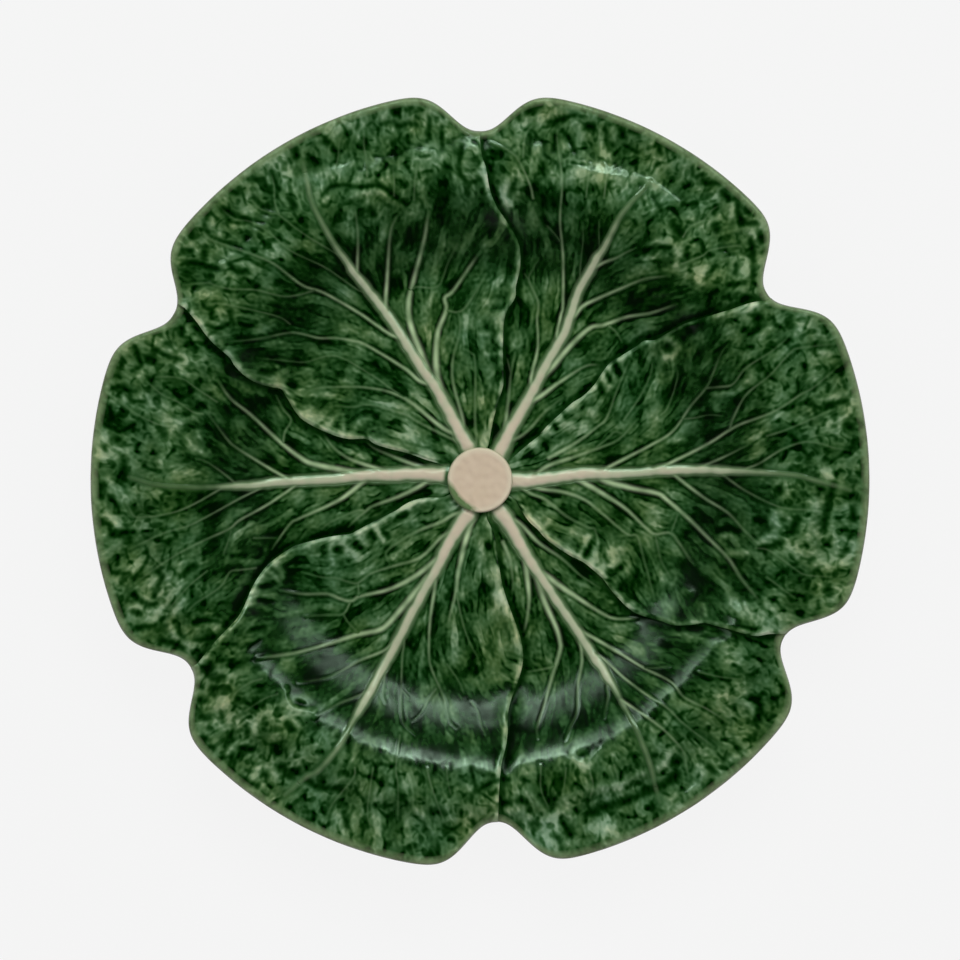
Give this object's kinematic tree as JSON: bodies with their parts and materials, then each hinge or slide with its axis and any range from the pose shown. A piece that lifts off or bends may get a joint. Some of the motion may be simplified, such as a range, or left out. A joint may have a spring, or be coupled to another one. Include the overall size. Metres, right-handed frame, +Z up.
{
  "type": "cabbage leaf serving plate",
  "caption": "Round glazed earthenware serving plate moulded as overlapping cabbage leaves with pale midribs round a cut stalk, on a foot ring.",
  "frame": {"origin": "on the table, under the middle of the plate", "axes": "+Z up, out of the well; +Y towards the notch between the two upper leaves; +X towards the tip of the right leaf"},
  "size_m": [0.305, 0.3004, 0.0319],
  "materials": {
    "leaf_glaze": "glossy transparent green glaze, darker where it pools",
    "rib_glaze": "glossy beige glaze",
    "bare_clay": "unglazed pale earthenware"
  },
  "bodies": {
    "root": {"leaf_upper_right": "leaf_glaze", "leaf_upper_left": "leaf_glaze", "leaf_left": "leaf_glaze", "leaf_lower_left": "leaf_glaze", "leaf_lower_right": "leaf_glaze", "leaf_right": "leaf_glaze", "midrib_upper_right": "rib_glaze", "midrib_upper_left": "rib_glaze", "midrib_left": "rib_glaze", "midrib_lower_left": "rib_glaze", "midrib_lower_right": "rib_glaze", "midrib_right": "rib_glaze", "stalk_end": "rib_glaze", "foot_ring": "bare_clay"}
  },
  "joints": []
}
